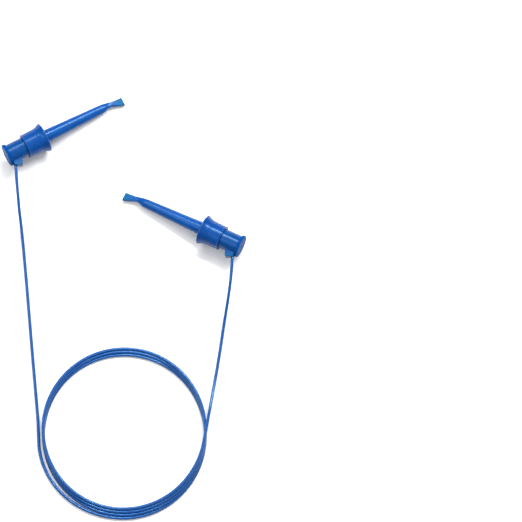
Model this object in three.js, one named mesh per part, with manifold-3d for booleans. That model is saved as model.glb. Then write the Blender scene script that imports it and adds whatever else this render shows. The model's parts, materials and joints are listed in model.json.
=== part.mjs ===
// A test lead: two spring-hook test clips, one at each end of a coiled silicone wire.
// Millimetres, +Z up. Both clips and the coil lie on z = 0, nose down: each clip rests on the rim of
// its finger flange and on its tip. The origin is under the middle of the box round both clips.
//
// A clip is built in its own frame: +X along its axis towards the tip, x = 0 in the rim of the
// finger flange, +Y towards the side where the wire leaves, +Z up when it lies on its side.
import * as THREE from "three";
import { mergeVertices } from "three/addons/utils/BufferGeometryUtils.js";
import Module from "manifold-3d";

const wasm = await Module();
wasm.setup();

// ---- Driving dimensions -------------------------------------------------------------------------
const TURN_SIDES = 36; // facets round a turned piece
const HOLE_SIDES = 16; // facets round a small hole
const FIXED_GAP = 0.04; // radial gap between two turned pieces that are fixed together
const CUT_BEYOND = 1; // how far a cutting solid runs past the face it opens

// Barrel, with its waist and the flat blade that ends in the open tip pocket
const BARREL = {
  rearX: -2.3,
  headR: 3.6,
  headFrontX: -1.55,
  stubR: 2.93,
  rootR: 2.91,
  rootX: 0.8,
  noseR: 2.04,
  noseX: 27.4,
  waistR: 1.32,
  waistX: 31.6,
};
const BARREL_BORE = { rearR: 1.7, taperEndX: 12, r: 1.25, endX: 29.4 };
const BLADE = { rearX: 29.4, frontX: 38.4, halfThick: 1.15 };
const SHAFT_HOLE = { r: 0.5, frontX: 34.4 };
const POCKET_HALF_THICK = 0.5;

// Finger collar with the flared flange
const COLLAR = {
  rearX: -9.5,
  rearR: 5.3,
  bodyR: 5.5,
  flareX: -3.6,
  flangeR: 6.6,
  rimX: -0.2,
  frontX: 0.4,
  recessX: 0.05,
  cavityR: 4.85,
  cavityFrontX: -1.5,
};
const COLLAR_LIP = { r: 5.45, frontX: -8.5, holeR: 4.48 };

// Plunger cap, the part the thumb pushes. Its bead is held behind the collar's lip.
const CAP = { rearX: -17.26, frontX: -6.9, r: 4.38, boreR: 3.4, wallX: -7.7, shaftHoleR: 0.42 };
const CAP_BEAD = { r: 4.7, rearX: -8.4, frontX: -7.6, chamferX: -7.2 };
const PLUG = { rearX: -18.6, frontX: -17.3, r: 5.0, edge: 0.2, spigotFrontX: -16.4 };

// Wire boss on the cap's side. It leans back, and its own axes are: out = the way the wire leaves,
// across = square to that, forwards. Both are measured from the middle of the flange.
const BOSS_LEAN = THREE.MathUtils.degToRad(24.4);
const BOSS = { acrossRear: -14.0, acrossFront: -10.05, outEnd: 12.2, halfThick: 2.2, chamfer: 0.3 };
const WIRE_BORE = { across: -13.05, r: 0.85, outStart: 9 };

// Hook, return spring, and the joint between hook and wire
const HOOK = { r: 0.35, tailX: -10.4, bendX: 33.4, curlX: 36.4, curlLowY: 0.16, curlR: 0.62, legX: 35.9 };
const SPRING = { rearX: 16.2, frontX: 29.2, meanR: 0.9, wireR: 0.17, turns: 15.5, stepsPerTurn: 9 };
const STOP = { rearX: 13.9, frontX: 15.9, r: 1.1 };
const SLEEVE = { rearX: -12.5, frontX: -8.6, r: 0.8 };
const CONDUCTOR = { r: 0.35, outEnd: 9.4 };

// The wire, and the coil that its turns make
const WIRE = { r: 0.68, outStart: 9.75, step: 3.4 };
const COIL = { x: 0.75, y: -111.4, innerR: 32.4, outerR: 37.7, height: 5.5, squeezeX: 0.95, sides: 64 };

// Where the clips lie: the middle of the flange, and the heading of the nose seen from above. A clip
// rests on the front edge of the flange's rim and on the blade's tip.
const CLIP_A = { x: -34.9, y: 17.4, heading: THREE.MathUtils.degToRad(28.2), rolled: true };
const CLIP_B = { x: 34.8, y: -23.4, heading: THREE.MathUtils.degToRad(154.3), rolled: false };
const NOSE_DOWN = Math.atan((COLLAR.flangeR - BLADE.halfThick) / (BLADE.frontX - COLLAR.frontX));
const FLANGE_HEIGHT = COLLAR.flangeR * Math.cos(NOSE_DOWN) + COLLAR.frontX * Math.sin(NOSE_DOWN);

// ---- Materials ----------------------------------------------------------------------------------
const finish = (color, roughness, metalness) =>
  new THREE.MeshStandardMaterial({ color, roughness, metalness });
const barrelBlue = finish(0x2463b4, 0.25, 0);
const collarBlue = finish(0x1a56b8, 0.25, 0);
const capBlue = finish(0x275fae, 0.28, 0);
const wireBlue = finish(0x2a5fb4, 0.35, 0);
const hookMetal = finish(0xc8bfa8, 0.25, 1);
const springSteel = finish(0xb4b6b8, 0.3, 1);
const tinnedBrass = finish(0xc9c3b0, 0.35, 1);
const copper = finish(0xb87344, 0.35, 1);

// ---- Geometry helpers ---------------------------------------------------------------------------
// A closed three.js geometry as a solid that can be joined and cut.
function solid(geometry) {
  const bare = geometry.clone();
  bare.deleteAttribute("normal");
  bare.deleteAttribute("uv");
  const merged = mergeVertices(bare, 1e-4);
  return new wasm.Manifold(
    new wasm.Mesh({
      numProp: 3,
      vertProperties: merged.attributes.position.array,
      triVerts: new Uint32Array(merged.index.array),
    }),
  );
}

const cut = (body, ...tools) => tools.reduce((left, tool) => left.subtract(solid(tool)), body);

function geometryOf(manifold) {
  const mesh = manifold.getMesh();
  const geometry = new THREE.BufferGeometry();
  geometry.setAttribute("position", new THREE.BufferAttribute(mesh.vertProperties, 3));
  geometry.setIndex(new THREE.BufferAttribute(mesh.triVerts, 1));
  return geometry;
}

// Turned about the X axis. The outline is [radius, x] pairs from rear to front along the outside.
function turned(outline, sides = TURN_SIDES) {
  const points = outline.map(([radius, x]) => new THREE.Vector2(radius, x));
  return new THREE.LatheGeometry(points, sides).rotateZ(-Math.PI / 2);
}

const rod = (radius, rearX, frontX, sides = TURN_SIDES) =>
  turned([[0, rearX], [radius, rearX], [radius, frontX], [0, frontX]], sides);

// A flat plate: the outline is [x, y] pairs, and it is centred on z = 0.
function plate(outline, halfThick) {
  const shape = new THREE.Shape(outline.map(([x, y]) => new THREE.Vector2(x, y)));
  const options = { depth: 2 * halfThick, bevelEnabled: false };
  return new THREE.ExtrudeGeometry(shape, options).translate(0, 0, -halfThick);
}

function circle(radius, sides) {
  const points = [];
  for (let i = 0; i < sides; i++) {
    const angle = (2 * Math.PI * i) / sides;
    points.push(new THREE.Vector2(radius * Math.cos(angle), radius * Math.sin(angle)));
  }
  return new THREE.Shape(points);
}

const tube = (curve, radius, sides, steps) =>
  new THREE.ExtrudeGeometry(circle(radius, sides), { steps, extrudePath: curve });

const smoothThrough = (points) => new THREE.CatmullRomCurve3(points.map((p) => new THREE.Vector3(...p)));

// A point of the clip's own XY plane, given in the leaning axes of the wire boss.
function bossPoint(across, out) {
  const x = across * Math.cos(BOSS_LEAN) - out * Math.sin(BOSS_LEAN);
  const y = across * Math.sin(BOSS_LEAN) + out * Math.cos(BOSS_LEAN);
  return [x, y];
}

// ---- The pieces of one clip ---------------------------------------------------------------------
function barrelGeometry() {
  const outside = turned([
    [0, BARREL.rearX],
    [BARREL.headR, BARREL.rearX],
    [BARREL.headR, BARREL.headFrontX],
    [BARREL.stubR, BARREL.headFrontX],
    [BARREL.stubR, 0],
    [BARREL.rootR, BARREL.rootX],
    [BARREL.noseR, BARREL.noseX],
    [1.73, 30.0],
    [BARREL.waistR, BARREL.waistX],
    [0, BARREL.waistX],
  ]);
  const blade = plate(
    [
      [BLADE.rearX, -1.5],
      [31.8, -1.38],
      [34.0, -0.92],
      [BLADE.frontX, -0.64],
      [BLADE.frontX, 3.1],
      [36.2, 2.36],
      [34.0, 1.5],
      [32.1, 1.0],
      [30.6, 1.4],
      [BLADE.rearX, 1.5],
    ],
    BLADE.halfThick,
  );
  const springBore = turned([
    [0, BARREL.rearX - CUT_BEYOND],
    [BARREL_BORE.rearR, BARREL.rearX - CUT_BEYOND],
    [BARREL_BORE.rearR, BARREL.rearX],
    [BARREL_BORE.r, BARREL_BORE.taperEndX],
    [BARREL_BORE.r, BARREL_BORE.endX],
    [0, BARREL_BORE.endX],
  ]);
  const shaftHole = rod(SHAFT_HOLE.r, BARREL_BORE.endX - CUT_BEYOND, SHAFT_HOLE.frontX, HOLE_SIDES);
  const pocket = plate(
    [
      [33.4, -0.45],
      [BLADE.frontX + CUT_BEYOND, -0.42],
      [BLADE.frontX + CUT_BEYOND, 3.12],
      [36.3, 2.06],
      [35.2, 1.7],
      [34.3, 1.1],
      [33.4, 0.5],
    ],
    POCKET_HALF_THICK,
  );
  return geometryOf(cut(solid(outside).add(solid(blade)), springBore, shaftHole, pocket));
}

// The flare from the collar's body out to the flange is part of a parabola, hollow outwards.
function flarePoints() {
  const steps = 6;
  const points = [];
  for (let i = 0; i <= steps; i++) {
    const share = i / steps;
    const radius = COLLAR.bodyR + (COLLAR.flangeR - COLLAR.bodyR) * share ** 2;
    points.push([radius, COLLAR.flareX + (COLLAR.rimX - COLLAR.flareX) * share]);
  }
  return points;
}

function collarGeometry() {
  const wallHoleR = BARREL.stubR + FIXED_GAP;
  const lipEdgeX = COLLAR.rearX + 0.4;
  const recessR = COLLAR.flangeR - 0.95;
  return turned([
    [COLLAR_LIP.holeR, COLLAR.rearX],
    [COLLAR_LIP.r, COLLAR.rearX],
    [COLLAR_LIP.r, lipEdgeX],
    [COLLAR.rearR, lipEdgeX + 0.25],
    ...flarePoints(),
    [COLLAR.flangeR, COLLAR.frontX],
    [recessR + 0.3, COLLAR.frontX],
    [recessR, COLLAR.recessX],
    [wallHoleR, COLLAR.recessX],
    [wallHoleR, COLLAR.cavityFrontX],
    [COLLAR.cavityR, COLLAR.cavityFrontX],
    [COLLAR.cavityR, COLLAR_LIP.frontX],
    [COLLAR_LIP.holeR, COLLAR_LIP.frontX],
    [COLLAR_LIP.holeR, COLLAR.rearX],
  ]);
}

function capGeometry() {
  const outside = turned([
    [0, CAP.rearX],
    [CAP.r, CAP.rearX],
    [CAP.r, CAP_BEAD.rearX],
    [CAP_BEAD.r, CAP_BEAD.rearX],
    [CAP_BEAD.r, CAP_BEAD.frontX],
    [CAP.r, CAP_BEAD.chamferX],
    [CAP.r - 0.3, CAP.frontX],
    [0, CAP.frontX],
  ]);
  const boss = plate(
    [
      bossPoint(BOSS.acrossRear, 6.5),
      bossPoint(BOSS.acrossFront, 5.5),
      bossPoint(BOSS.acrossFront, BOSS.outEnd - BOSS.chamfer),
      bossPoint(BOSS.acrossFront - BOSS.chamfer, BOSS.outEnd),
      bossPoint(BOSS.acrossRear + BOSS.chamfer, BOSS.outEnd),
      bossPoint(BOSS.acrossRear, BOSS.outEnd - BOSS.chamfer),
    ],
    BOSS.halfThick,
  );
  const cavity = rod(CAP.boreR, CAP.rearX - CUT_BEYOND, CAP.wallX);
  const shaftHole = rod(CAP.shaftHoleR, CAP.wallX - CUT_BEYOND, CAP.frontX + CUT_BEYOND, HOLE_SIDES);
  const plugRoom = rod(PLUG.r + 2 * FIXED_GAP, PLUG.rearX - CUT_BEYOND, CAP.rearX);
  const [boreX, boreY] = bossPoint(WIRE_BORE.across, 0);
  const wireBore = rod(WIRE_BORE.r, WIRE_BORE.outStart, BOSS.outEnd + CUT_BEYOND, HOLE_SIDES)
    .rotateZ(Math.PI / 2 + BOSS_LEAN)
    .translate(boreX, boreY, 0);
  return geometryOf(cut(solid(outside).add(solid(boss)), cavity, shaftHole, plugRoom, wireBore));
}

function plugGeometry() {
  const spigotR = CAP.boreR - FIXED_GAP;
  return turned([
    [0, PLUG.rearX],
    [PLUG.r - PLUG.edge, PLUG.rearX],
    [PLUG.r, PLUG.rearX + PLUG.edge],
    [PLUG.r, PLUG.frontX - PLUG.edge],
    [PLUG.r - PLUG.edge, PLUG.frontX],
    [spigotR, PLUG.frontX],
    [spigotR, PLUG.spigotFrontX],
    [0, PLUG.spigotFrontX],
  ]);
}

// A straight shaft, a slight set to the wire side, and a half-circle curl with a short free leg.
function hookGeometry() {
  const sides = 12;
  const shaft = rod(HOOK.r, HOOK.tailX, HOOK.bendX, sides);
  const points = [[HOOK.bendX - 0.4, 0, 0], [HOOK.bendX + 0.3, 0.01, 0], [35, 0.12, 0]];
  const curlMiddleY = HOOK.curlLowY + HOOK.curlR;
  for (let degrees = -90; degrees <= 90; degrees += 30) {
    const angle = THREE.MathUtils.degToRad(degrees);
    const x = HOOK.curlX + HOOK.curlR * Math.cos(angle);
    points.push([x, curlMiddleY + HOOK.curlR * Math.sin(angle), 0]);
  }
  points.push([HOOK.legX, curlMiddleY + HOOK.curlR, 0]);
  const steps = 26;
  return geometryOf(solid(shaft).add(solid(tube(smoothThrough(points), HOOK.r, sides, steps))));
}

class Helix extends THREE.Curve {
  getPoint(t) {
    const angle = 2 * Math.PI * SPRING.turns * t;
    const x = SPRING.rearX + (SPRING.frontX - SPRING.rearX) * t;
    return new THREE.Vector3(x, SPRING.meanR * Math.cos(angle), SPRING.meanR * Math.sin(angle));
  }
}

function springGeometry() {
  const sides = 5;
  return tube(new Helix(), SPRING.wireR, sides, Math.round(SPRING.turns * SPRING.stepsPerTurn));
}

// A sleeve on the hook's shaft.
function sleeveGeometry({ r, rearX, frontX }) {
  const boreR = HOOK.r + FIXED_GAP;
  const outline = [[boreR, rearX], [r, rearX], [r, frontX], [boreR, frontX], [boreR, rearX]];
  return turned(outline, HOLE_SIDES);
}

// The bare strands, from the end of the insulation in the boss round to the solder sleeve.
function conductorGeometry() {
  const inBoss = [CONDUCTOR.outEnd, 8.9, 8.2].map((out) => [...bossPoint(WIRE_BORE.across, out), 0]);
  const toSleeve = [[-14.45, 0.75, 0], [-13.5, 0.12, 0], [-12.6, 0, 0], [-10.8, 0, 0]];
  const sides = 10;
  const steps = 24;
  return tube(smoothThrough([...inBoss, ...toSleeve]), CONDUCTOR.r, sides, steps);
}

const CLIP_PIECES = [
  ["barrel", barrelGeometry(), barrelBlue],
  ["finger_collar", collarGeometry(), collarBlue],
  ["plunger_cap", capGeometry(), capBlue],
  ["end_plug", plugGeometry(), capBlue],
  ["hook", hookGeometry(), hookMetal],
  ["return_spring", springGeometry(), springSteel],
  ["spring_stop", sleeveGeometry(STOP), tinnedBrass],
  ["solder_sleeve", sleeveGeometry(SLEEVE), tinnedBrass],
  ["conductor", conductorGeometry(), copper],
];

function clip(suffix, place) {
  const group = new THREE.Group();
  for (const [name, geometry, material] of CLIP_PIECES) {
    const mesh = new THREE.Mesh(geometry, material);
    mesh.name = name + suffix;
    group.add(mesh);
  }
  group.position.set(place.x, place.y, FLANGE_HEIGHT);
  group.rotation.set(place.rolled ? Math.PI : 0, NOSE_DOWN, place.heading, "ZYX");
  return group;
}

// ---- The wire -----------------------------------------------------------------------------------
// Each run goes from inside its clip's boss down to the surface, then along it to the coil.
const RUN_A = [
  [-46.5, -2.5, 8.6],
  [-46.0, -8.5, 7.3],
  [-45.5, -15, 5.1],
  [-44.8, -21.5, 2.7],
  [-44.1, -28.5, 1.25],
  [-43.3, -36.5, 0.74],
  [-42.1, -49, 0.7],
  [-40.7, -64, 0.7],
  [-39.3, -79, 0.7],
  [-37.9, -93.5, 0.7],
  [-36.9, -104.5, 0.7],
  [-36.4, -111.5, 0.7],
];
const RUN_B = [
  [47.0, -43, 8.6],
  [46.3, -49, 7.3],
  [45.3, -55.5, 5.05],
  [44.2, -62, 2.6],
  [43.1, -69, 1.1],
  [42.0, -76.5, 0.72],
  [40.6, -85, 0.9],
  [39.4, -92, 1.9],
  [38.3, -98.6, 3.5],
  [37.2, -104.8, 4.6],
];

function wireRun(name, group, route) {
  const inClip = [WIRE.outStart, BOSS.outEnd, BOSS.outEnd + 1.5].map((out) => {
    const [x, y] = bossPoint(WIRE_BORE.across, out);
    return group.localToWorld(new THREE.Vector3(x, y, 0)).toArray();
  });
  const curve = smoothThrough([...inClip, ...route]);
  const sides = 8;
  const steps = Math.round(curve.getLength() / WIRE.step);
  const mesh = new THREE.Mesh(tube(curve, WIRE.r, sides, steps), wireBlue);
  mesh.name = name;
  return mesh;
}

// The ring that the coiled turns fill. Its section has bevelled corners, and it is a little narrower
// along X, where the turns lie on top of each other, than along Y, where they lie side by side.
function wireCoil() {
  const low = 0.9;
  const high = 1.2;
  const outline = [
    [COIL.innerR, low],
    [COIL.innerR + low, 0],
    [COIL.outerR - low, 0],
    [COIL.outerR, low],
    [COIL.outerR, COIL.height - high],
    [COIL.outerR - high, COIL.height],
    [COIL.innerR + high, COIL.height],
    [COIL.innerR, COIL.height - high],
    [COIL.innerR, low],
  ].map(([radius, z]) => new THREE.Vector2(radius, z));
  const geometry = new THREE.LatheGeometry(outline, COIL.sides).rotateX(Math.PI / 2);
  const mesh = new THREE.Mesh(geometry, wireBlue);
  mesh.name = "wire_coil";
  mesh.position.set(COIL.x, COIL.y, 0);
  mesh.scale.x = COIL.squeezeX;
  return mesh;
}

// ---- The whole lead -----------------------------------------------------------------------------
const clipA = clip("_a", CLIP_A);
const clipB = clip("_b", CLIP_B);
clipA.updateMatrixWorld(true);
clipB.updateMatrixWorld(true);

const lead = new THREE.Group();
lead.add(clipA, clipB);
lead.add(wireRun("wire_run_a", clipA, RUN_A), wireCoil(), wireRun("wire_run_b", clipB, RUN_B));

export default lead;
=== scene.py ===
"""A spring-hook test lead: two hook clips joined by one coiled silicone wire.

The pieces of a clip are made in millimetres in the clip's own frame: x is 0 in the rim of the
finger flange and grows towards the tip, +y points to the boss that the wire leaves by, and +z out
of the flat blade. The wire is made in the frame of the whole object.
"""

import json
import math

import bmesh
import bpy
from mathutils import Matrix, Vector


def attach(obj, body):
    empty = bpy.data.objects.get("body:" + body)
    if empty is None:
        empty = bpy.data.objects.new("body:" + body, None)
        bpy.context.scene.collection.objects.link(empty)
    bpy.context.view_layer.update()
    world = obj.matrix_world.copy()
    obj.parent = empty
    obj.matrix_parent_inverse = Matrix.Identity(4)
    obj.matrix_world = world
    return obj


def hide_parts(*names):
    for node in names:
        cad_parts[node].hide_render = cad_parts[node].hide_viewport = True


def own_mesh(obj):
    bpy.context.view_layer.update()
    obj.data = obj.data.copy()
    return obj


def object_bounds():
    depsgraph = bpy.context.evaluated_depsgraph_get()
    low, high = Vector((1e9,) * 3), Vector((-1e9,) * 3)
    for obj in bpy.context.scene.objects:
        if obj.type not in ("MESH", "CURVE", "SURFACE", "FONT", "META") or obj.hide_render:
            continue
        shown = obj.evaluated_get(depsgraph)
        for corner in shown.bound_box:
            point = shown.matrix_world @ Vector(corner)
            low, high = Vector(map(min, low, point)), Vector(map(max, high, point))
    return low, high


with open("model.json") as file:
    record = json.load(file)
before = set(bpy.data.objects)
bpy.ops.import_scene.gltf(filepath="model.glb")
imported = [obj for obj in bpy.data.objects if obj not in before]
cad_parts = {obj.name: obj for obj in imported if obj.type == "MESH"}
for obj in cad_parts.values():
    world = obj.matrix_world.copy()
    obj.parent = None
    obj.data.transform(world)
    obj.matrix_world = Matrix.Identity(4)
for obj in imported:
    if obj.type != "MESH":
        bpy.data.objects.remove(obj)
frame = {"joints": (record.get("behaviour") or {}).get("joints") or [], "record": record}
cad_low, cad_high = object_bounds()

MM = 0.001
SIDES = "ab"
PLUNGERS = "wire_and_plungers"


# ---------------------------------------------------------------- sizes, in the clip's frame, in mm

TURN_SIDES = 72
WIDE_TURN_SIDES = 96

# The barrel: its head in the collar as (x, r), the bore for the spring, and the shaft's hole
BARREL_HEAD = [(-2.3, 3.6), (-1.55, 3.6), (-1.55, 2.93), (0.4, 2.93)]
BARREL_BORE = [(-3.3, 1.7), (-2.3, 1.7), (12.0, 1.25), (29.4, 1.25)]
SHAFT_HOLE_REAR, SHAFT_HOLE_FRONT = 29, 34.4
SHAFT_HOLE_R = 0.5
DRILL_POINT = 0.5
TIP_EDGE = 0.08

# x, reach towards the boss's side, reach to the other side, half thickness, squareness
NOSE_KEYS = [
    (0.8, 2.91, 2.91, 2.91, 2),
    (9.0, 2.64, 2.64, 2.64, 2),
    (18.0, 2.35, 2.35, 2.35, 2),
    (26.6, 2.07, 2.07, 2.07, 2),
    (28.6, 1.95, 1.97, 1.98, 2),
    (29.9, 1.68, 1.80, 1.80, 2.05),
    (30.9, 1.33, 1.60, 1.56, 2.3),
    (31.8, 1.06, 1.38, 1.32, 2.9),
    (32.7, 1.06, 1.18, 1.19, 3.8),
    (33.6, 1.36, 0.98, 1.15, 5),
    (34.6, 1.76, 0.86, 1.15, 6),
    (36.2, 2.36, 0.75, 1.15, 7),
    (38.3, 3.06, 0.64, 1.15, 8),
]

# The pocket in the blade that the hook lies in, as (x, y) or (x, y, fillet). It is open at the tip
POCKET = [
    (33.4, -0.45, 0.3),
    (39.4, -0.42),
    (39.4, 3.12),
    (36.3, 2.06, 2),
    (35.2, 1.7, 1),
    (34.3, 1.1, 1),
    (33.4, 0.5, 0.4),
]
POCKET_HALF_THICK = 0.5

# The finger collar, from its rear lip to the flange
COLLAR_REAR = -9.5
COLLAR_REAR_R = 5.3
COLLAR_BODY_R = 5.5
COLLAR_LIP_R = 5.45
COLLAR_LIP_LONG = 0.45
COLLAR_LIP_END = 0.7
COLLAR_HOLE_R = 4.48
COLLAR_HOLE_FRONT = -8.5
COLLAR_CAVITY_R = 4.85
COLLAR_CAVITY_FRONT = -1.5
CREASE_DEEP = 0.12
FLARE_X = -3.3
RIM_X = -0.2
FLANGE_R = 6.6
FLANGE_FRONT = 0.4
FLANGE_EDGE = 0.3
DISH_DEEP = 0.35
BARREL_GAP = 0.04

# The plunger cap and its stop bead
CAP_R = 4.38
CAP_BORE_R = 3.4
CAP_REAR = -17.26
CAP_FRONT = -6.9
CAP_BORE_FRONT = -7.7
CAP_SHAFT_HOLE_R = 0.42
BEAD_R = 4.7
BEAD_REAR, BEAD_FRONT, BEAD_END = -8.4, -7.6, -7.2

# The end plug: its rim, the hollow spigot in the cap, and a fine ring in its rear face
PLUG_REAR = -18.6
PLUG_R = 5.0
PLUG_RIM_FRONT = -17.3
SPIGOT_FRONT = -16.4
SPIGOT_GAP = 0.04
WELL_X, WELL_R = -17.0, 2.0
RING_INNER_R, RING_OUTER_R = 3.85, 4.25
RING_DEEP = 0.1
DIMPLE_DEEP = 0.15

# The boss, measured across it and out along it, and the wire in it
BOSS_LEAN = math.radians(24.4)
BOSS_REAR, BOSS_FRONT = -14.0, -10.05
BOSS_IN, BOSS_OUT = 3.6, 12.2
BOSS_HALF_THICK = 2.2
BOSS_EDGE = 0.28
WIRE_ACROSS = -13.05
WIRE_BORE_R = 0.85
WIRE_START_OUT = (9.75, 12.2, 13.7)

# How far the cutters for the boss's hollow and for the plug's room reach
BOSS_CUT_REAR, BOSS_CUT_FRONT = -20, -7.9
PLUG_ROOM_REAR, PLUG_ROOM_R = -22, 6.5

# The hook: its shaft, and the arc that its end curls round
HOOK_R = 0.35
HOOK_SHAFT = [
    (-10.4, 0, 0),
    (0, 0, 0),
    (16, 0, 0),
    (32, 0, 0),
    (33, 0, 0),
    (33.7, 0.01, 0),
    (35, 0.12, 0),
]
CURL_MIDDLE = (36.4, 0.78)
CURL_R = 0.62
HOOK_END = [(36.1, 1.4, 0), (35.95, 1.39, 0)]

SPRING_REAR, SPRING_FRONT = 16.2, 29.2
SPRING_TURNS = 15.5
SPRING_CLOSED_TURNS = 1.25
SPRING_R = 0.9
SPRING_WIRE_R = 0.17

# The sleeves on the hook's shaft: rear, front, radius and the crimp grooves' places
SPRING_STOP = (13.9, 15.9, 1.1, (14.9,))
SOLDER_SLEEVE = (-12.5, -8.6, 0.8, (-11.6, -9.5))
CRIMP_HALF_LONG = 0.28
CRIMP_DEEP = 0.14

# The bare strands: out along the boss, then round into the solder sleeve
CONDUCTOR_OUT = (9.7, 9.3, 8.8, 8.2)
CONDUCTOR_ROUND = [(-14.45, 0.75, 0), (-13.5, 0.12, 0), (-12.6, 0, 0), (-10.8, 0, 0)]
STRAND_R = HOOK_R / 3
STRAND_TWIST = 5.5

# The wire's coil, in the frame of the whole object. Its angles are in degrees
WIRE_R = 0.68
COIL_X, COIL_Y = 0.75, -111.4
COIL_R = 35.05
COIL_START, COIL_END = 180.0, 1429.4
COIL_STEP = 7.5
COIL_MIDDLE_TURN = 1.75
TURN_SHIFT = 1.31
START_GAP = 2.14
START_GAP_ANGLE = 90


# ---------------------------------------------------------------- where each clip is

# The point of the plug's rear face that the record's plunger mount states
PLUNGER_MOUNT = (PLUG_REAR, 1.809, -2.584)


def joint_of(side):
    return next(j for j in frame["joints"] if j["name"] == f"squeeze_{side}")


def clip_place(side):
    """The clip's own frame in the object's, from the record's joint axis and plunger mount."""
    face = next(m for m in frame["record"]["mounts"] if m["name"] == f"plunger_face_{side}")
    x_axis = -Vector(joint_of(side)["axis"]).normalized()
    y_axis = Vector((0, 0, 1)).cross(x_axis).normalized() * (1 if side == "b" else -1)
    z_axis = x_axis.cross(y_axis)
    turn = Matrix((x_axis, y_axis, z_axis)).transposed()
    mount = turn @ (Vector(PLUNGER_MOUNT) * MM)
    return Matrix.Translation(Vector(face["pos_m"]) - mount) @ turn.to_4x4()


PLACES = {side: clip_place(side) for side in SIDES}


def boss_point(across, out):
    """A point of the boss's middle plane, from its distance across the boss and out along it."""
    lean_cos, lean_sin = math.cos(BOSS_LEAN), math.sin(BOSS_LEAN)
    return (across * lean_cos - out * lean_sin, across * lean_sin + out * lean_cos)


# ---------------------------------------------------------------- camera and light

VIEW_WIDTH = 0.2281
VIEW_MIDDLE = Vector((0.0599, -0.0363, 0.0))
VIEW_ELEVATION = math.radians(82)
LENS, SENSOR_WIDTH = 200, 36


def make_camera():
    data = bpy.data.cameras.new("camera")
    data.lens = LENS
    data.sensor_width = SENSOR_WIDTH
    distance = VIEW_WIDTH * LENS / SENSOR_WIDTH
    back = Vector((0, -math.cos(VIEW_ELEVATION), math.sin(VIEW_ELEVATION)))
    camera = bpy.data.objects.new("camera", data)
    camera.location = VIEW_MIDDLE + back * distance
    camera.rotation_euler = (-back).to_track_quat("-Z", "Y").to_euler()
    data.clip_start, data.clip_end = 0.01, 20
    bpy.context.scene.collection.objects.link(camera)
    bpy.context.scene.camera = camera


LIGHT_DISTANCE = 0.8


def softbox(name, azimuth, elevation, size, power):
    """An area light that looks at the object's middle. Azimuth is counted from +X towards +Y."""
    data = bpy.data.lights.new(name, "AREA")
    data.shape = "RECTANGLE"
    data.size, data.size_y = size
    data.energy = power
    azimuth, elevation = math.radians(azimuth), math.radians(elevation)
    level = math.cos(elevation)
    away = Vector((level * math.cos(azimuth), level * math.sin(azimuth), math.sin(elevation)))
    lamp = bpy.data.objects.new(name, data)
    lamp.location = (cad_low + cad_high) / 2 + away * LIGHT_DISTANCE
    lamp.rotation_euler = (-away).to_track_quat("-Z", "Y").to_euler()
    bpy.context.scene.collection.objects.link(lamp)


# Sine of the height above the horizon, and how bright the studio is there: a white backdrop,
# darker walls, and a bright ceiling
SKY = [(0.06, 0.9), (0.14, 0.2), (0.45, 0.35), (0.7, 1.0)]
SKY_STRENGTH = 1.0


def make_world():
    world = bpy.data.worlds.new("studio")
    world.use_nodes = True
    nodes, links = world.node_tree.nodes, world.node_tree.links
    split = nodes.new("ShaderNodeSeparateXYZ")
    links.new(nodes.new("ShaderNodeTexCoord").outputs["Generated"], split.inputs["Vector"])
    ramp = nodes.new("ShaderNodeValToRGB")
    stops = ramp.color_ramp.elements
    stops[0].position, stops[0].color = SKY[0][0], (*[SKY[0][1]] * 3, 1)
    stops[1].position, stops[1].color = SKY[-1][0], (*[SKY[-1][1]] * 3, 1)
    for height, level in SKY[1:-1]:
        stops.new(height).color = (level, level, level, 1)
    links.new(split.outputs["Z"], ramp.inputs["Fac"])
    background = nodes["Background"]
    links.new(ramp.outputs["Color"], background.inputs["Color"])
    background.inputs["Strength"].default_value = SKY_STRENGTH
    bpy.context.scene.world = world
    bpy.context.scene.view_settings.view_transform = "Standard"


# ---------------------------------------------------------------- mesh making


def mesh_piece(name, points, faces):
    """A new mesh object from points in mm, with its normals outwards."""
    mesh = bpy.data.meshes.new(name)
    mesh.from_pydata([Vector(p) * MM for p in points], [], faces)
    work = bmesh.new()
    work.from_mesh(mesh)
    bmesh.ops.recalc_face_normals(work, faces=work.faces)
    work.to_mesh(mesh)
    work.free()
    piece = bpy.data.objects.new(name, mesh)
    bpy.context.scene.collection.objects.link(piece)
    return piece


def rounded(corners, steps=5):
    """A closed outline through (u, v) or (u, v, fillet) corners, each fillet turned into an arc."""
    outline = []
    for i, corner in enumerate(corners):
        here = Vector(corner[:2])
        fillet = corner[2] if len(corner) > 2 else 0
        back = Vector(corners[i - 1][:2]) - here
        on = Vector(corners[(i + 1) % len(corners)][:2]) - here
        if not fillet:
            outline.append(tuple(here))
            continue
        half = back.angle(on) / 2
        reach = min(fillet / math.tan(half), 0.48 * back.length, 0.48 * on.length)
        inward = (back.normalized() + on.normalized()).normalized()
        centre = here + inward * (reach / math.cos(half))
        start = here + back.normalized() * reach - centre
        end = here + on.normalized() * reach - centre
        for k in range(steps + 1):
            outline.append(tuple(centre + start.slerp(end, k / steps) * start.length))
    return outline


def stitched(rings, closed=False):
    """Faces between rings of point numbers. A ring of one number is a pole."""
    faces = []
    following = rings[1:] + rings[:1] if closed else rings[1:]
    for ring, other in zip(rings, following):
        if len(ring) == len(other) == 1:
            continue
        count = max(len(ring), len(other))
        for i in range(count):
            j = (i + 1) % count
            near = [ring[0]] if len(ring) == 1 else [ring[i], ring[j]]
            far = [other[0]] if len(other) == 1 else [other[j], other[i]]
            faces.append(near + far)
    return faces


def lathe(name, outline, sides=TURN_SIDES):
    """A closed outline of (x, r) points turned about the clip's axis."""
    points, rings = [], []
    for x, r in outline:
        count = 1 if r < 1e-6 else sides
        rings.append(list(range(len(points), len(points) + count)))
        for i in range(count):
            angle = 2 * math.pi * i / sides
            points.append((x, r * math.cos(angle), r * math.sin(angle)))
    return mesh_piece(name, points, stitched(rings, closed=True))


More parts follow.
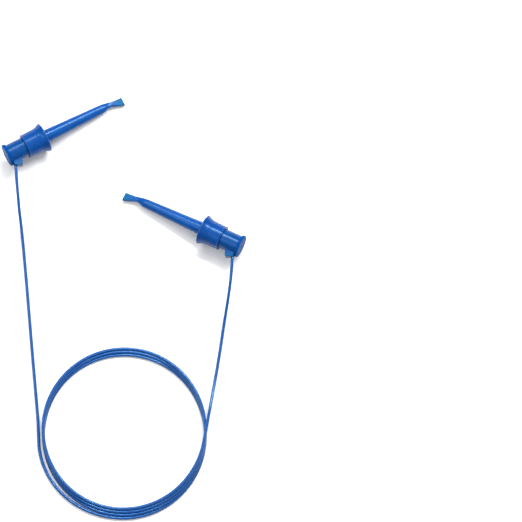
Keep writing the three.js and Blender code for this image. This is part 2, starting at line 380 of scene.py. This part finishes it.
def plate(name, outline, half_thick):
    """A closed (x, y) outline given a thickness along z."""
    points = [(u, v, z) for z in (-half_thick, half_thick) for u, v in outline]
    count = len(outline)
    rings = [list(range(count)), list(range(count, 2 * count))]
    return mesh_piece(name, points, stitched(rings) + [rings[0][::-1], rings[1]])


def tube(name, path, radius, sides=14, round_ends=True):
    """A closed tube along points in mm. Its section is carried along without twisting."""
    path = [Vector(p) for p in path]
    tangents = [(b - a).normalized() for a, b in zip([path[0]] + path[:-1], path[1:] + [path[-1]])]
    normal = tangents[0].orthogonal().normalized()
    points, rings = [], []

    def ring(centre, tangent, ring_radius):
        second = tangent.cross(normal)
        rings.append(list(range(len(points), len(points) + sides)))
        for i in range(sides):
            angle = 2 * math.pi * i / sides
            away = normal * math.cos(angle) + second * math.sin(angle)
            points.append(centre + away * ring_radius)

    def pole(centre):
        rings.append([len(points)])
        points.append(centre)

    cap_angles = [math.radians(a) for a in (66, 44, 22)] if round_ends else []
    dome = radius * 0.8 if round_ends else 0
    pole(path[0] - tangents[0] * dome)
    for a in cap_angles:
        ring(path[0] - tangents[0] * dome * math.sin(a), tangents[0], radius * math.cos(a))
    for centre, tangent in zip(path, tangents):
        normal = (normal - tangent * normal.dot(tangent)).normalized()
        ring(centre, tangent, radius)
    for a in reversed(cap_angles):
        ring(path[-1] + tangents[-1] * dome * math.sin(a), tangents[-1], radius * math.cos(a))
    pole(path[-1] + tangents[-1] * dome)
    return mesh_piece(name, points, stitched(rings))


def apply_modifiers(piece):
    """Turns the piece's modifiers into its mesh."""
    graph = bpy.context.evaluated_depsgraph_get()
    mesh = bpy.data.meshes.new_from_object(piece.evaluated_get(graph))
    piece.modifiers.clear()
    piece.data = mesh


def combine(piece, operation, tool):
    """Adds a tool to the piece (UNION) or cuts it out of it (DIFFERENCE), and removes the tool."""
    step = piece.modifiers.new(operation, "BOOLEAN")
    step.operation, step.solver, step.object = operation, "EXACT", tool
    bpy.context.view_layer.update()
    apply_modifiers(piece)
    bpy.data.objects.remove(tool)


def joined(name, pieces):
    """Several closed meshes as one piece."""
    work = bmesh.new()
    for part in pieces:
        work.from_mesh(part.data)
        bpy.data.objects.remove(part)
    mesh = bpy.data.meshes.new(name)
    work.to_mesh(mesh)
    work.free()
    piece = bpy.data.objects.new(name, mesh)
    bpy.context.scene.collection.objects.link(piece)
    return piece


def soften(piece, width, angle=38, segments=3):
    """Rounds the edges that are sharper than the angle."""
    step = piece.modifiers.new("edges", "BEVEL")
    step.width = width * MM
    step.segments = segments
    step.limit_method = "ANGLE"
    step.angle_limit = math.radians(angle)
    bpy.context.view_layer.update()
    apply_modifiers(piece)


def smooth(piece, sharp=32):
    """Smooth shading, except across edges sharper than the angle."""
    mesh = piece.data
    mesh.polygons.foreach_set("use_smooth", [True] * len(mesh.polygons))
    mesh.set_sharp_from_angle(angle=math.radians(sharp))
    step = piece.modifiers.new("normals", "WEIGHTED_NORMAL")
    step.keep_sharp = True
    apply_modifiers(piece)


def through(keys, steps):
    """Points on a smooth curve through the keys, with that many steps between each two."""
    keys = [Vector(k) for k in keys]
    ends = [keys[0] * 2 - keys[1]] + keys + [keys[-1] * 2 - keys[-2]]
    curve = []
    for before, here, there, after in zip(ends, ends[1:], ends[2:], ends[3:]):
        for k in range(steps):
            t = k / steps
            curve.append(
                (
                    here * 2
                    + (there - before) * t
                    + (before * 2 - here * 5 + there * 4 - after) * t * t
                    + (here * 3 - before - there * 3 + after) * t * t * t
                )
                / 2
            )
    return curve + [keys[-1]]


# ---------------------------------------------------------------- materials

# How far red, green and blue light spread inside the blue materials, beside one another
SCATTER = (0.3, 0.6, 1.2)
PLASTIC_TINT = (0.5, 0.8, 1, 1)
SILICONE_TINT = (0.4, 0.75, 1, 1)
DUST = (0.5, 0.62, 0.8)

# The mould seam: its distances in metres, and its height beside the grain's
SEAM_NEAR, SEAM_FAR = 0.00002, 0.00007
SEAM_HEIGHT = 2.5


class Surface:
    """A node material, with short calls for the nodes that it is made of."""

    def __init__(self, name):
        self.material = bpy.data.materials.new(name)
        self.material.use_nodes = True
        self.nodes = self.material.node_tree.nodes
        self.links = self.material.node_tree.links
        self.shader = self.nodes["Principled BSDF"]
        self.place = self.nodes.new("ShaderNodeTexCoord").outputs["Object"]

    def fixed(self, **values):
        """Values that are the same all over, set on the shader's own sockets."""
        for name, value in values.items():
            self.shader.inputs[name.replace("_", " ")].default_value = value

    def noise(self, scale, detail=3, roughness=0.5, stretch=(1, 1, 1)):
        mapping = self.nodes.new("ShaderNodeMapping")
        mapping.inputs["Scale"].default_value = stretch
        self.links.new(self.place, mapping.inputs["Vector"])
        node = self.nodes.new("ShaderNodeTexNoise")
        node.inputs["Scale"].default_value = scale
        node.inputs["Detail"].default_value = detail
        node.inputs["Roughness"].default_value = roughness
        self.links.new(mapping.outputs["Vector"], node.inputs["Vector"])
        return node.outputs["Fac"]

    def ranged(self, value, low, high, to_low=0.0, to_high=1.0, smoothly=False):
        node = self.nodes.new("ShaderNodeMapRange")
        node.interpolation_type = "SMOOTHSTEP" if smoothly else "LINEAR"
        node.inputs["From Min"].default_value = low
        node.inputs["From Max"].default_value = high
        node.inputs["To Min"].default_value = to_low
        node.inputs["To Max"].default_value = to_high
        self.links.new(value, node.inputs["Value"])
        return node.outputs["Result"]

    def along(self, direction):
        """How far a point lies along a direction in the piece's frame, in metres."""
        node = self.nodes.new("ShaderNodeVectorMath")
        node.operation = "DOT_PRODUCT"
        node.inputs[1].default_value = direction
        self.links.new(self.place, node.inputs[0])
        return node.outputs["Value"]

    def maths(self, operation, first, second):
        node = self.nodes.new("ShaderNodeMath")
        node.operation = operation
        for socket, value in zip(node.inputs, (first, second)):
            if isinstance(value, (int, float)):
                socket.default_value = value
            else:
                self.links.new(value, socket)
        return node.outputs["Value"]

    def mixed(self, share, first, second):
        """Two colours mixed by a share. A colour is either three numbers or a socket."""
        node = self.nodes.new("ShaderNodeMix")
        node.data_type = "RGBA"
        self.links.new(share, node.inputs["Factor"])
        for socket, colour in zip((node.inputs[6], node.inputs[7]), (first, second)):
            if isinstance(colour, tuple):
                socket.default_value = (*colour, 1)
            else:
                self.links.new(colour, socket)
        return node.outputs[2]

    def colour(self, socket):
        self.links.new(socket, self.shader.inputs["Base Color"])

    def roughness(self, socket):
        self.links.new(socket, self.shader.inputs["Roughness"])

    def bump(self, height, distance):
        node = self.nodes.new("ShaderNodeBump")
        node.inputs["Strength"].default_value = 1.0
        node.inputs["Distance"].default_value = distance
        self.links.new(height, node.inputs["Height"])
        self.links.new(node.outputs["Normal"], self.shader.inputs["Normal"])


def plastic(name, deep, pale, thin=None, thin_share=None, subsurface=0.1, specular=0.26):
    """Glossy moulded nylon: slow colour drift, moulding texture, handling marks and a mould seam.
    thin_share, if given, changes the colour to thin: painted light, standing in for the light that
    a thin wall lets through."""
    s = Surface(name)
    drift = s.ranged(s.noise(260, detail=4), 0.32, 0.68)
    colour = s.mixed(drift, deep, pale)
    marks = s.noise(900, detail=5, roughness=0.6, stretch=(0.25, 1, 1))
    rough = s.ranged(marks, 0.35, 0.75, 0.2, 0.32)
    if thin_share:
        share = thin_share(s)
        colour = s.mixed(share, colour, thin)
        rough = s.maths("ADD", rough, s.maths("MULTIPLY", share, 0.4))
    s.colour(colour)
    s.roughness(rough)
    grain = s.noise(5200, detail=2)
    off_seam = s.maths("ABSOLUTE", s.along((0, 0, 1)), 0)
    seam = s.ranged(off_seam, SEAM_NEAR, SEAM_FAR, SEAM_HEIGHT, 0, smoothly=True)
    texture = s.maths("ADD", grain, s.maths("MULTIPLY", marks, 0.8))
    s.bump(s.maths("ADD", texture, seam), 0.000004)
    s.fixed(IOR=1.5, Subsurface_Weight=subsurface, Subsurface_Scale=0.001)
    s.fixed(Subsurface_Radius=SCATTER, Specular_IOR_Level=specular, Specular_Tint=PLASTIC_TINT)
    return s.material


def silicone(name, deep, pale):
    """Satin silicone insulation, with a little dust and a faint drawn texture."""
    s = Surface(name)
    colour = s.mixed(s.ranged(s.noise(420, detail=4), 0.3, 0.7), deep, pale)
    dust = s.ranged(s.noise(2600, detail=5, roughness=0.7), 0.62, 0.8, 0, 0.1)
    s.colour(s.mixed(dust, colour, DUST))
    s.roughness(s.ranged(s.noise(1500, detail=4), 0.3, 0.7, 0.16, 0.26))
    s.bump(s.noise(3800, detail=3), 0.000003)
    s.fixed(IOR=1.6, Subsurface_Weight=0.1, Subsurface_Scale=0.0006, Subsurface_Radius=SCATTER)
    s.fixed(Specular_IOR_Level=0.6, Specular_Tint=SILICONE_TINT)
    return s.material


def metal(name, deep, pale, rough, lines=(1, 1, 1)):
    """Plated or drawn metal with fine drawing lines."""
    s = Surface(name)
    s.colour(s.mixed(s.ranged(s.noise(900, detail=4), 0.3, 0.7), deep, pale))
    drawn = s.noise(2600, detail=4, stretch=lines)
    s.roughness(s.ranged(drawn, 0.3, 0.7, rough * 0.7, rough * 1.3))
    s.bump(drawn, 0.000004)
    s.fixed(Metallic=1.0, IOR=1.5)
    return s.material


def tip_share(s):
    """Grows along the blade, where the pocket leaves only thin walls; it places the painted light
    that comes through them.
    """
    return s.ranged(s.along((1, 0, 0)), 0.0335, 0.0372, 0.0, 0.9, smoothly=True)


def boss_share(s):
    """Grows along the boss towards its mouth; it places the painted light that comes through the
    wall there.
    """
    out = (-math.sin(BOSS_LEAN), math.cos(BOSS_LEAN), 0)
    return s.ranged(s.along(out), 0.0096, 0.0122, 0.0, 0.55, smoothly=True)


def make_materials():
    # teal is painted light: a paler colour for light coming through thin walls, mixed in at the
    # blade's tip and the boss's mouth
    teal = (0.0005, 0.078, 0.195)
    barrel_blues = (0.0005, 0.043, 0.2), (0.001, 0.054, 0.238)
    collar_blues = (0.0005, 0.034, 0.172), (0.0005, 0.044, 0.208)
    cap_blues = (0.0005, 0.035, 0.155), (0.001, 0.044, 0.188)
    plug_blues = (0.0005, 0.040, 0.19), (0.001, 0.050, 0.225)
    wire_blues = (0.0005, 0.041, 0.2), (0.0005, 0.053, 0.24)
    return {
        "barrel_plastic": plastic("barrel_plastic", *barrel_blues, teal, tip_share, subsurface=0.2),
        "collar_plastic": plastic("collar_plastic", *collar_blues),
        "cap_plastic": plastic("cap_plastic", *cap_blues, teal, boss_share, subsurface=0.15),
        "plug_plastic": plastic("plug_plastic", *plug_blues, specular=0.01),
        "wire_insulation": silicone("wire_insulation", *wire_blues),
        "hook_metal": metal("hook_metal", (0.62, 0.53, 0.36), (0.72, 0.66, 0.5), 0.2, (0.1, 1, 1)),
        "spring_steel": metal("spring_steel", (0.5, 0.51, 0.52), (0.62, 0.63, 0.64), 0.24),
        "tinned_brass": metal("tinned_brass", (0.6, 0.57, 0.48), (0.7, 0.68, 0.6), 0.34),
        "copper": metal("copper", (0.62, 0.24, 0.1), (0.74, 0.34, 0.16), 0.28),
    }


MATERIALS = make_materials()


def shown(piece, node, side, body, slot, material=None):
    """Puts a finished piece where its CAD node is, on its body and with its finish."""
    piece.data.materials.clear()
    piece.data.materials.append(MATERIALS[material or slot])
    piece.matrix_world = PLACES[side]
    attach(piece, body)
    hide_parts(f"{node}_{side}")


# ---------------------------------------------------------------- the wire

# Points of the wire from each boss to the coil, in mm in the frame of the whole object
RUN_A = [
    (-46.5, -2.5, 8.6),
    (-46.0, -8.5, 7.3),
    (-45.5, -15, 5.1),
    (-44.8, -21.5, 2.7),
    (-44.1, -28.5, 1.25),
    (-43.3, -36.5, 0.74),
    (-42.1, -49, 0.7),
    (-40.7, -64, 0.7),
    (-39.3, -79, 0.7),
    (-37.9, -93.5, 0.7),
    (-36.9, -104.5, 0.7),
]
RUN_B = [
    (47.0, -43, 8.6),
    (46.3, -49, 7.3),
    (45.3, -55.5, 5.05),
    (44.2, -62, 2.6),
    (43.1, -69, 1.1),
    (42.0, -76.5, 0.72),
    (40.6, -85, 0.9),
    (39.4, -92, 1.9),
    (38.3, -98.6, 3.5),
    (37.2, -104.8, 4.6),
]


def coil_spread(degrees):
    """How far outside the stack the first strand lies as it comes in."""
    share = max(0.0, 1 - (degrees - COIL_START) / START_GAP_ANGLE)
    return START_GAP * share * share * (3 - 2 * share)


def coil_point(degrees):
    """A point of the coil. Each turn is shifted a strand's width in y, and lies on or beside the
    turns before."""
    angle = math.radians(degrees)
    turn = (degrees - COIL_START) / 360
    height = WIRE_R
    for i in range(int(turn)):
        apart = TURN_SHIFT * abs(math.sin(angle))
        if i == 0:
            apart += coil_spread(degrees - 360 * int(turn))
        height += math.sqrt(max(0.0, (2 * WIRE_R) ** 2 - apart**2))
    radius = COIL_R + coil_spread(degrees)
    middle_y = COIL_Y + (turn - COIL_MIDDLE_TURN) * TURN_SHIFT
    return Vector((COIL_X + radius * math.cos(angle), middle_y + radius * math.sin(angle), height))


def coil_points():
    """The whole coil, with its heights evened out over a few degrees of each turn."""
    span = COIL_END - COIL_START
    steps = round(span / COIL_STEP)
    coil = [coil_point(COIL_START + span * k / steps) for k in range(steps + 1)]
    for _ in range(2):
        heights = [p.z for p in coil]
        for k in range(1, steps):
            coil[k].z = (heights[k - 1] + 2 * heights[k] + heights[k + 1]) / 4
    return coil


def make_wire():
    """One continuous wire from inside boss a, round the coil, into boss b."""
    ends = {}
    for side in SIDES:
        start = [Vector((*boss_point(WIRE_ACROSS, out), 0)) * MM for out in WIRE_START_OUT]
        ends[side] = [PLACES[side] @ p / MM for p in start]
    keys = ends["a"] + [Vector(p) for p in RUN_A] + coil_points()
    keys += [Vector(p) for p in reversed(RUN_B)] + ends["b"][::-1]
    path = through(keys, 4)
    data = bpy.data.curves.new("silicone_wire", "CURVE")
    data.dimensions = "3D"
    data.bevel_depth = WIRE_R * MM
    data.bevel_resolution = 5
    data.use_fill_caps = True
    spline = data.splines.new("POLY")
    spline.points.add(len(path) - 1)
    for point, here in zip(spline.points, path):
        point.co = (*(here * MM), 1)
    spline.use_smooth = True
    wire = bpy.data.objects.new("silicone_wire", data)
    bpy.context.scene.collection.objects.link(wire)
    data.materials.append(MATERIALS["wire_insulation"])
    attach(wire, PLUNGERS)
    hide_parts("wire_run_a", "wire_coil", "wire_run_b")


# ---------------------------------------------------------------- the pieces of a clip


def blade_ring(x, up, down, half_z, squareness, count=TURN_SIDES):
    """One section of the barrel, from a circle (squareness 2) to a box with rounded edges."""
    ring = []
    for i in range(count):
        angle = 2 * math.pi * i / count
        c, s = math.cos(angle), math.sin(angle)
        y = (up - down) / 2 + (up + down) / 2 * math.copysign(abs(c) ** (2 / squareness), c)
        ring.append((x, y, half_z * math.copysign(abs(s) ** (2 / squareness), s)))
    return ring


def rounded_head(fillet=0.12):
    """The outline of the barrel's head, with its outer edges rounded, without its end faces."""
    rear, step, inner, front = BARREL_HEAD
    corners = [(*rear, fillet), (*step, fillet), (*inner, 0.05), front, (front[0], 0), (rear[0], 0)]
    return [(x, r) for x, r in rounded(corners) if r > 0 and x < front[0]]


def make_barrel(side):
    """One loft from the round head to the flat blade, with its bore, shaft hole and pocket."""
    rings = [blade_ring(x, r, r, r, 2) for x, r in rounded_head()]
    rings += [blade_ring(*key) for key in through(NOSE_KEYS, 6)]
    x, up, down, half_z, squareness = NOSE_KEYS[-1]
    tip = (x + TIP_EDGE, up - TIP_EDGE / 2, down - TIP_EDGE, half_z - TIP_EDGE, squareness)
    rings.append(blade_ring(*tip))
    count = len(rings[0])
    numbers = [list(range(k * count, (k + 1) * count)) for k in range(len(rings))]
    points = [p for ring in rings for p in ring]
    faces = stitched(numbers) + [numbers[0][::-1], numbers[-1]]
    barrel = mesh_piece(f"fine_barrel_{side}", points, faces)
    bore_rear, bore_front = BARREL_BORE[0][0], BARREL_BORE[-1][0] + DRILL_POINT
    bore = lathe("bore", [(bore_rear, 0), *BARREL_BORE, (bore_front, 0)])
    hole_outline = [
        (SHAFT_HOLE_REAR, 0),
        (SHAFT_HOLE_REAR, SHAFT_HOLE_R),
        (SHAFT_HOLE_FRONT, SHAFT_HOLE_R),
        (SHAFT_HOLE_FRONT, 0),
    ]
    shaft_hole = lathe("shaft_hole", hole_outline, 24)
    pocket = plate("pocket", rounded(POCKET), POCKET_HALF_THICK)
    for tool in (bore, shaft_hole, pocket):
        combine(barrel, "DIFFERENCE", tool)
    smooth(barrel)
    shown(barrel, "barrel", side, f"grip_{side}", "barrel_plastic")


def flare():
    """The collar's hollow flare, part of a parabola from the body out to the flange."""
    points = []
    for k in range(15):
        share = k / 14
        x = FLARE_X + (RIM_X - FLARE_X) * share
        out = 0.3 * share + 0.7 * share**2
        points.append((x, COLLAR_BODY_R + (FLANGE_R - COLLAR_BODY_R) * out))
    return points


def make_collar(side):
    """The sleeve with its rear lip, a crease before the flare, and a dished flange."""
    hole_r = BARREL_HEAD[2][1] + BARREL_GAP
    dish_x = FLANGE_FRONT - DISH_DEEP
    outline = rounded(
        [
            (COLLAR_REAR, COLLAR_HOLE_R, 0.1),
            (COLLAR_REAR, COLLAR_LIP_R, 0.14),
            (COLLAR_REAR + COLLAR_LIP_LONG, COLLAR_LIP_R, 0.12),
            (COLLAR_REAR + COLLAR_LIP_END, COLLAR_REAR_R, 0.12),
            (FLARE_X - 0.35, COLLAR_BODY_R - 0.02, 0.05),
            (FLARE_X - 0.2, COLLAR_BODY_R - CREASE_DEEP, 0.05),
            (FLARE_X - 0.05, COLLAR_BODY_R - 0.02, 0.05),
            *flare()[:-1],
            (RIM_X, FLANGE_R, 0.1),
            (FLANGE_FRONT - FLANGE_EDGE, FLANGE_R, 0.1),
            (FLANGE_FRONT, FLANGE_R - FLANGE_EDGE, 0.1),
            (FLANGE_FRONT, FLANGE_R - 0.65, 0.14),
            (dish_x, FLANGE_R - 0.95, 0.2),
            (dish_x, hole_r, 0.1),
            (COLLAR_CAVITY_FRONT, hole_r),
            (COLLAR_CAVITY_FRONT, COLLAR_CAVITY_R, 0.4),
            (COLLAR_HOLE_FRONT, COLLAR_CAVITY_R, 0.1),
            (COLLAR_HOLE_FRONT, COLLAR_HOLE_R, 0.08),
        ]
    )
    collar = lathe(f"fine_collar_{side}", outline, WIDE_TURN_SIDES)
    smooth(collar)
    shown(collar, "finger_collar", side, f"grip_{side}", "collar_plastic")


def make_boss():
    """The leaning block that the wire leaves by, hollowed where the cap's bore is."""
    outline = rounded(
        [
            boss_point(BOSS_REAR, BOSS_IN),
            boss_point(BOSS_FRONT, BOSS_IN),
            (*boss_point(BOSS_FRONT, BOSS_OUT), 0.35),
            (*boss_point(BOSS_REAR, BOSS_OUT), 0.35),
        ]
    )
    boss = plate("boss", outline, BOSS_HALF_THICK)
    soften(boss, BOSS_EDGE)
    rear, front = BOSS_CUT_REAR, BOSS_CUT_FRONT
    cavity = lathe("cavity", [(rear, 0), (rear, CAP_BORE_R), (front, CAP_BORE_R), (front, 0)])
    combine(boss, "DIFFERENCE", cavity)
    return boss


def make_cap(side):
    """The hollow thumb piece with its stop bead, joined to its boss and bored for the wire."""
    outline = rounded(
        [
            (CAP_REAR, CAP_BORE_R, 0.08),
            (CAP_REAR, CAP_R, 0.1),
            (BEAD_REAR, CAP_R, 0.06),
            (BEAD_REAR, BEAD_R, 0.1),
            (BEAD_FRONT, BEAD_R, 0.14),
            (BEAD_END, CAP_R, 0.1),
            (CAP_FRONT, CAP_R - 0.3, 0.1),
            (CAP_FRONT, CAP_SHAFT_HOLE_R, 0.06),
            (CAP_BORE_FRONT, CAP_SHAFT_HOLE_R),
            (CAP_BORE_FRONT, CAP_BORE_R, 0.35),
        ]
    )
    cap = lathe(f"fine_cap_{side}", outline)
    rear, out = PLUG_ROOM_REAR, PLUG_ROOM_R
    room_for_plug = lathe("room", [(rear, 0), (rear, out), (CAP_REAR, out), (CAP_REAR, 0)])
    bore_path = [(*boss_point(WIRE_ACROSS, out), 0) for out in (4, BOSS_OUT + 1)]
    wire_bore = tube("wire_bore", bore_path, WIRE_BORE_R, 32, round_ends=False)
    combine(cap, "UNION", make_boss())
    combine(cap, "DIFFERENCE", room_for_plug)
    combine(cap, "DIFFERENCE", wire_bore)
    smooth(cap)
    shown(cap, "plunger_cap", side, PLUNGERS, "cap_plastic")


def make_plug(side):
    """The rimmed disc that closes the cap, with a moulding gate's dimple at its middle."""
    outline = rounded(
        [
            (PLUG_REAR + DIMPLE_DEEP, 0),
            (PLUG_REAR + DIMPLE_DEEP, 0.4),
            (PLUG_REAR, 0.6),
            (PLUG_REAR, RING_INNER_R),
            (PLUG_REAR + RING_DEEP, RING_INNER_R + 0.1),
            (PLUG_REAR + RING_DEEP, RING_OUTER_R - 0.1),
            (PLUG_REAR, RING_OUTER_R),
            (PLUG_REAR, PLUG_R, 0.28),
            (PLUG_RIM_FRONT, PLUG_R, 0.2),
            (PLUG_RIM_FRONT, CAP_BORE_R - SPIGOT_GAP),
            (SPIGOT_FRONT, CAP_BORE_R - SPIGOT_GAP, 0.2),
            (SPIGOT_FRONT, WELL_R + 0.2, 0.2),
            (WELL_X, WELL_R, 0.3),
            (WELL_X, 0),
        ]
    )
    plug = lathe(f"fine_plug_{side}", outline, WIDE_TURN_SIDES)
    smooth(plug)
    shown(plug, "end_plug", side, PLUNGERS, "cap_plastic", "plug_plastic")


def make_hook(side):
    """The straight shaft and its end, curled back on itself."""
    path = through(HOOK_SHAFT, 5)
    for k in range(13):
        angle = math.radians(-90 + 15 * k)
        x, y = CURL_MIDDLE
        path.append(Vector((x + CURL_R * math.cos(angle), y + CURL_R * math.sin(angle), 0)))
    path += [Vector(p) for p in HOOK_END]
    hook = tube(f"fine_hook_{side}", path, HOOK_R, 18)
    smooth(hook, 60)
    shown(hook, "hook", side, PLUNGERS, "hook_metal")


def spring_path():
    """The middle line of the spring, with its end turns closed."""
    steps = 24
    free_turns = SPRING_TURNS - 2 * SPRING_CLOSED_TURNS - 0.5
    closed_long = 2 * SPRING_WIRE_R * (2 * SPRING_CLOSED_TURNS + 1)
    free_travel = SPRING_FRONT - SPRING_REAR - closed_long
    path = []
    x = SPRING_REAR + SPRING_WIRE_R
    for k in range(round(SPRING_TURNS * steps) + 1):
        turn = k / steps
        from_end = min(turn, SPRING_TURNS - turn)
        open_share = min(1, max(0, from_end - SPRING_CLOSED_TURNS) / 0.5)
        pitch = 2 * SPRING_WIRE_R + open_share * (free_travel / free_turns)
        angle = 2 * math.pi * turn
        path.append((x, SPRING_R * math.cos(angle), SPRING_R * math.sin(angle)))
        x += pitch / steps
    first, last = path[0][0], path[-1][0]
    stretch = (SPRING_FRONT - SPRING_WIRE_R - first) / (last - first)
    return [(first + (x - first) * stretch, y, z) for x, y, z in path]


def make_spring(side):
    """A compression spring with closed end turns, on its own mesh."""
    spring = tube(f"fine_spring_{side}", spring_path(), SPRING_WIRE_R, 10)
    smooth(spring, 60)
    shown(spring, "return_spring", side, PLUNGERS, "spring_steel")
    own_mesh(spring)


def make_sleeve(side, name, node, sizes):
    """A crimped sleeve: a tube with rounded ends and shallow crimp grooves."""
    rear, front, radius, grooves = sizes
    bore = HOOK_R + 0.04
    corners = [(rear, bore), (rear, radius, 0.12)]
    for x in grooves:
        corners += [
            (x - CRIMP_HALF_LONG, radius, 0.1),
            (x, radius - CRIMP_DEEP, 0.15),
            (x + CRIMP_HALF_LONG, radius, 0.1),
        ]
    corners += [(front, radius, 0.12), (front, bore)]
    sleeve = lathe(f"fine_{name}_{side}", rounded(corners, 3), 40)
    smooth(sleeve)
    shown(sleeve, node, side, PLUNGERS, "tinned_brass")


def make_conductor(side):
    """Seven bare strands, twisted, from the end of the insulation round to the sleeve."""
    inside = [(*boss_point(WIRE_ACROSS, out), 0) for out in CONDUCTOR_OUT]
    centre = through(inside + CONDUCTOR_ROUND, 8)
    strands = [tube("strand", centre, STRAND_R, 8)]
    for i in range(6):
        path = []
        travelled = 0.0
        for k, here in enumerate(centre):
            ahead = centre[min(k + 1, len(centre) - 1)]
            behind = centre[max(k - 1, 0)]
            side_way = Vector((0, 0, 1))
            other_way = (ahead - behind).normalized().cross(side_way)
            travelled += (here - behind).length
            turn = 2 * math.pi * (i / 6 + travelled / STRAND_TWIST)
            away = side_way * math.cos(turn) + other_way * math.sin(turn)
            path.append(here + away * STRAND_R * 2)
        strands.append(tube("strand", path, STRAND_R, 8))
    conductor = joined(f"fine_conductor_{side}", strands)
    smooth(conductor, 60)
    shown(conductor, "conductor", side, PLUNGERS, "copper")


# ---------------------------------------------------------------- floor

FLOOR_REACH = 2.5
FLOOR_DROP = 0.00005


def make_floor():
    mesh = bpy.data.meshes.new("floor")
    signs = [(-1, -1), (1, -1), (1, 1), (-1, 1)]
    corners = [(x * FLOOR_REACH, y * FLOOR_REACH, 0) for x, y in signs]
    mesh.from_pydata(corners, [], [(0, 1, 2, 3)])
    floor = bpy.data.objects.new("floor", mesh)
    floor.location.z = -FLOOR_DROP
    bpy.context.scene.collection.objects.link(floor)
    s = Surface("floor_paper")
    s.colour(s.mixed(s.noise(60, detail=2), (0.8, 0.8, 0.8), (0.83, 0.83, 0.83)))
    s.fixed(Roughness=1.0, Specular_IOR_Level=0.0)
    mesh.materials.append(s.material)


make_camera()
make_world()
softbox("key", azimuth=64, elevation=52, size=(0.6, 0.12), power=9.5)
softbox("north", azimuth=118, elevation=54, size=(0.3, 0.1), power=1.6)
softbox("west", azimuth=178, elevation=62, size=(0.5, 0.12), power=1.0)
make_floor()
make_wire()
for side in SIDES:
    make_barrel(side)
    make_collar(side)
    make_cap(side)
    make_plug(side)
    make_hook(side)
    make_spring(side)
    make_sleeve(side, "stop", "spring_stop", SPRING_STOP)
    make_sleeve(side, "solder_sleeve", "solder_sleeve", SOLDER_SLEEVE)
    make_conductor(side)
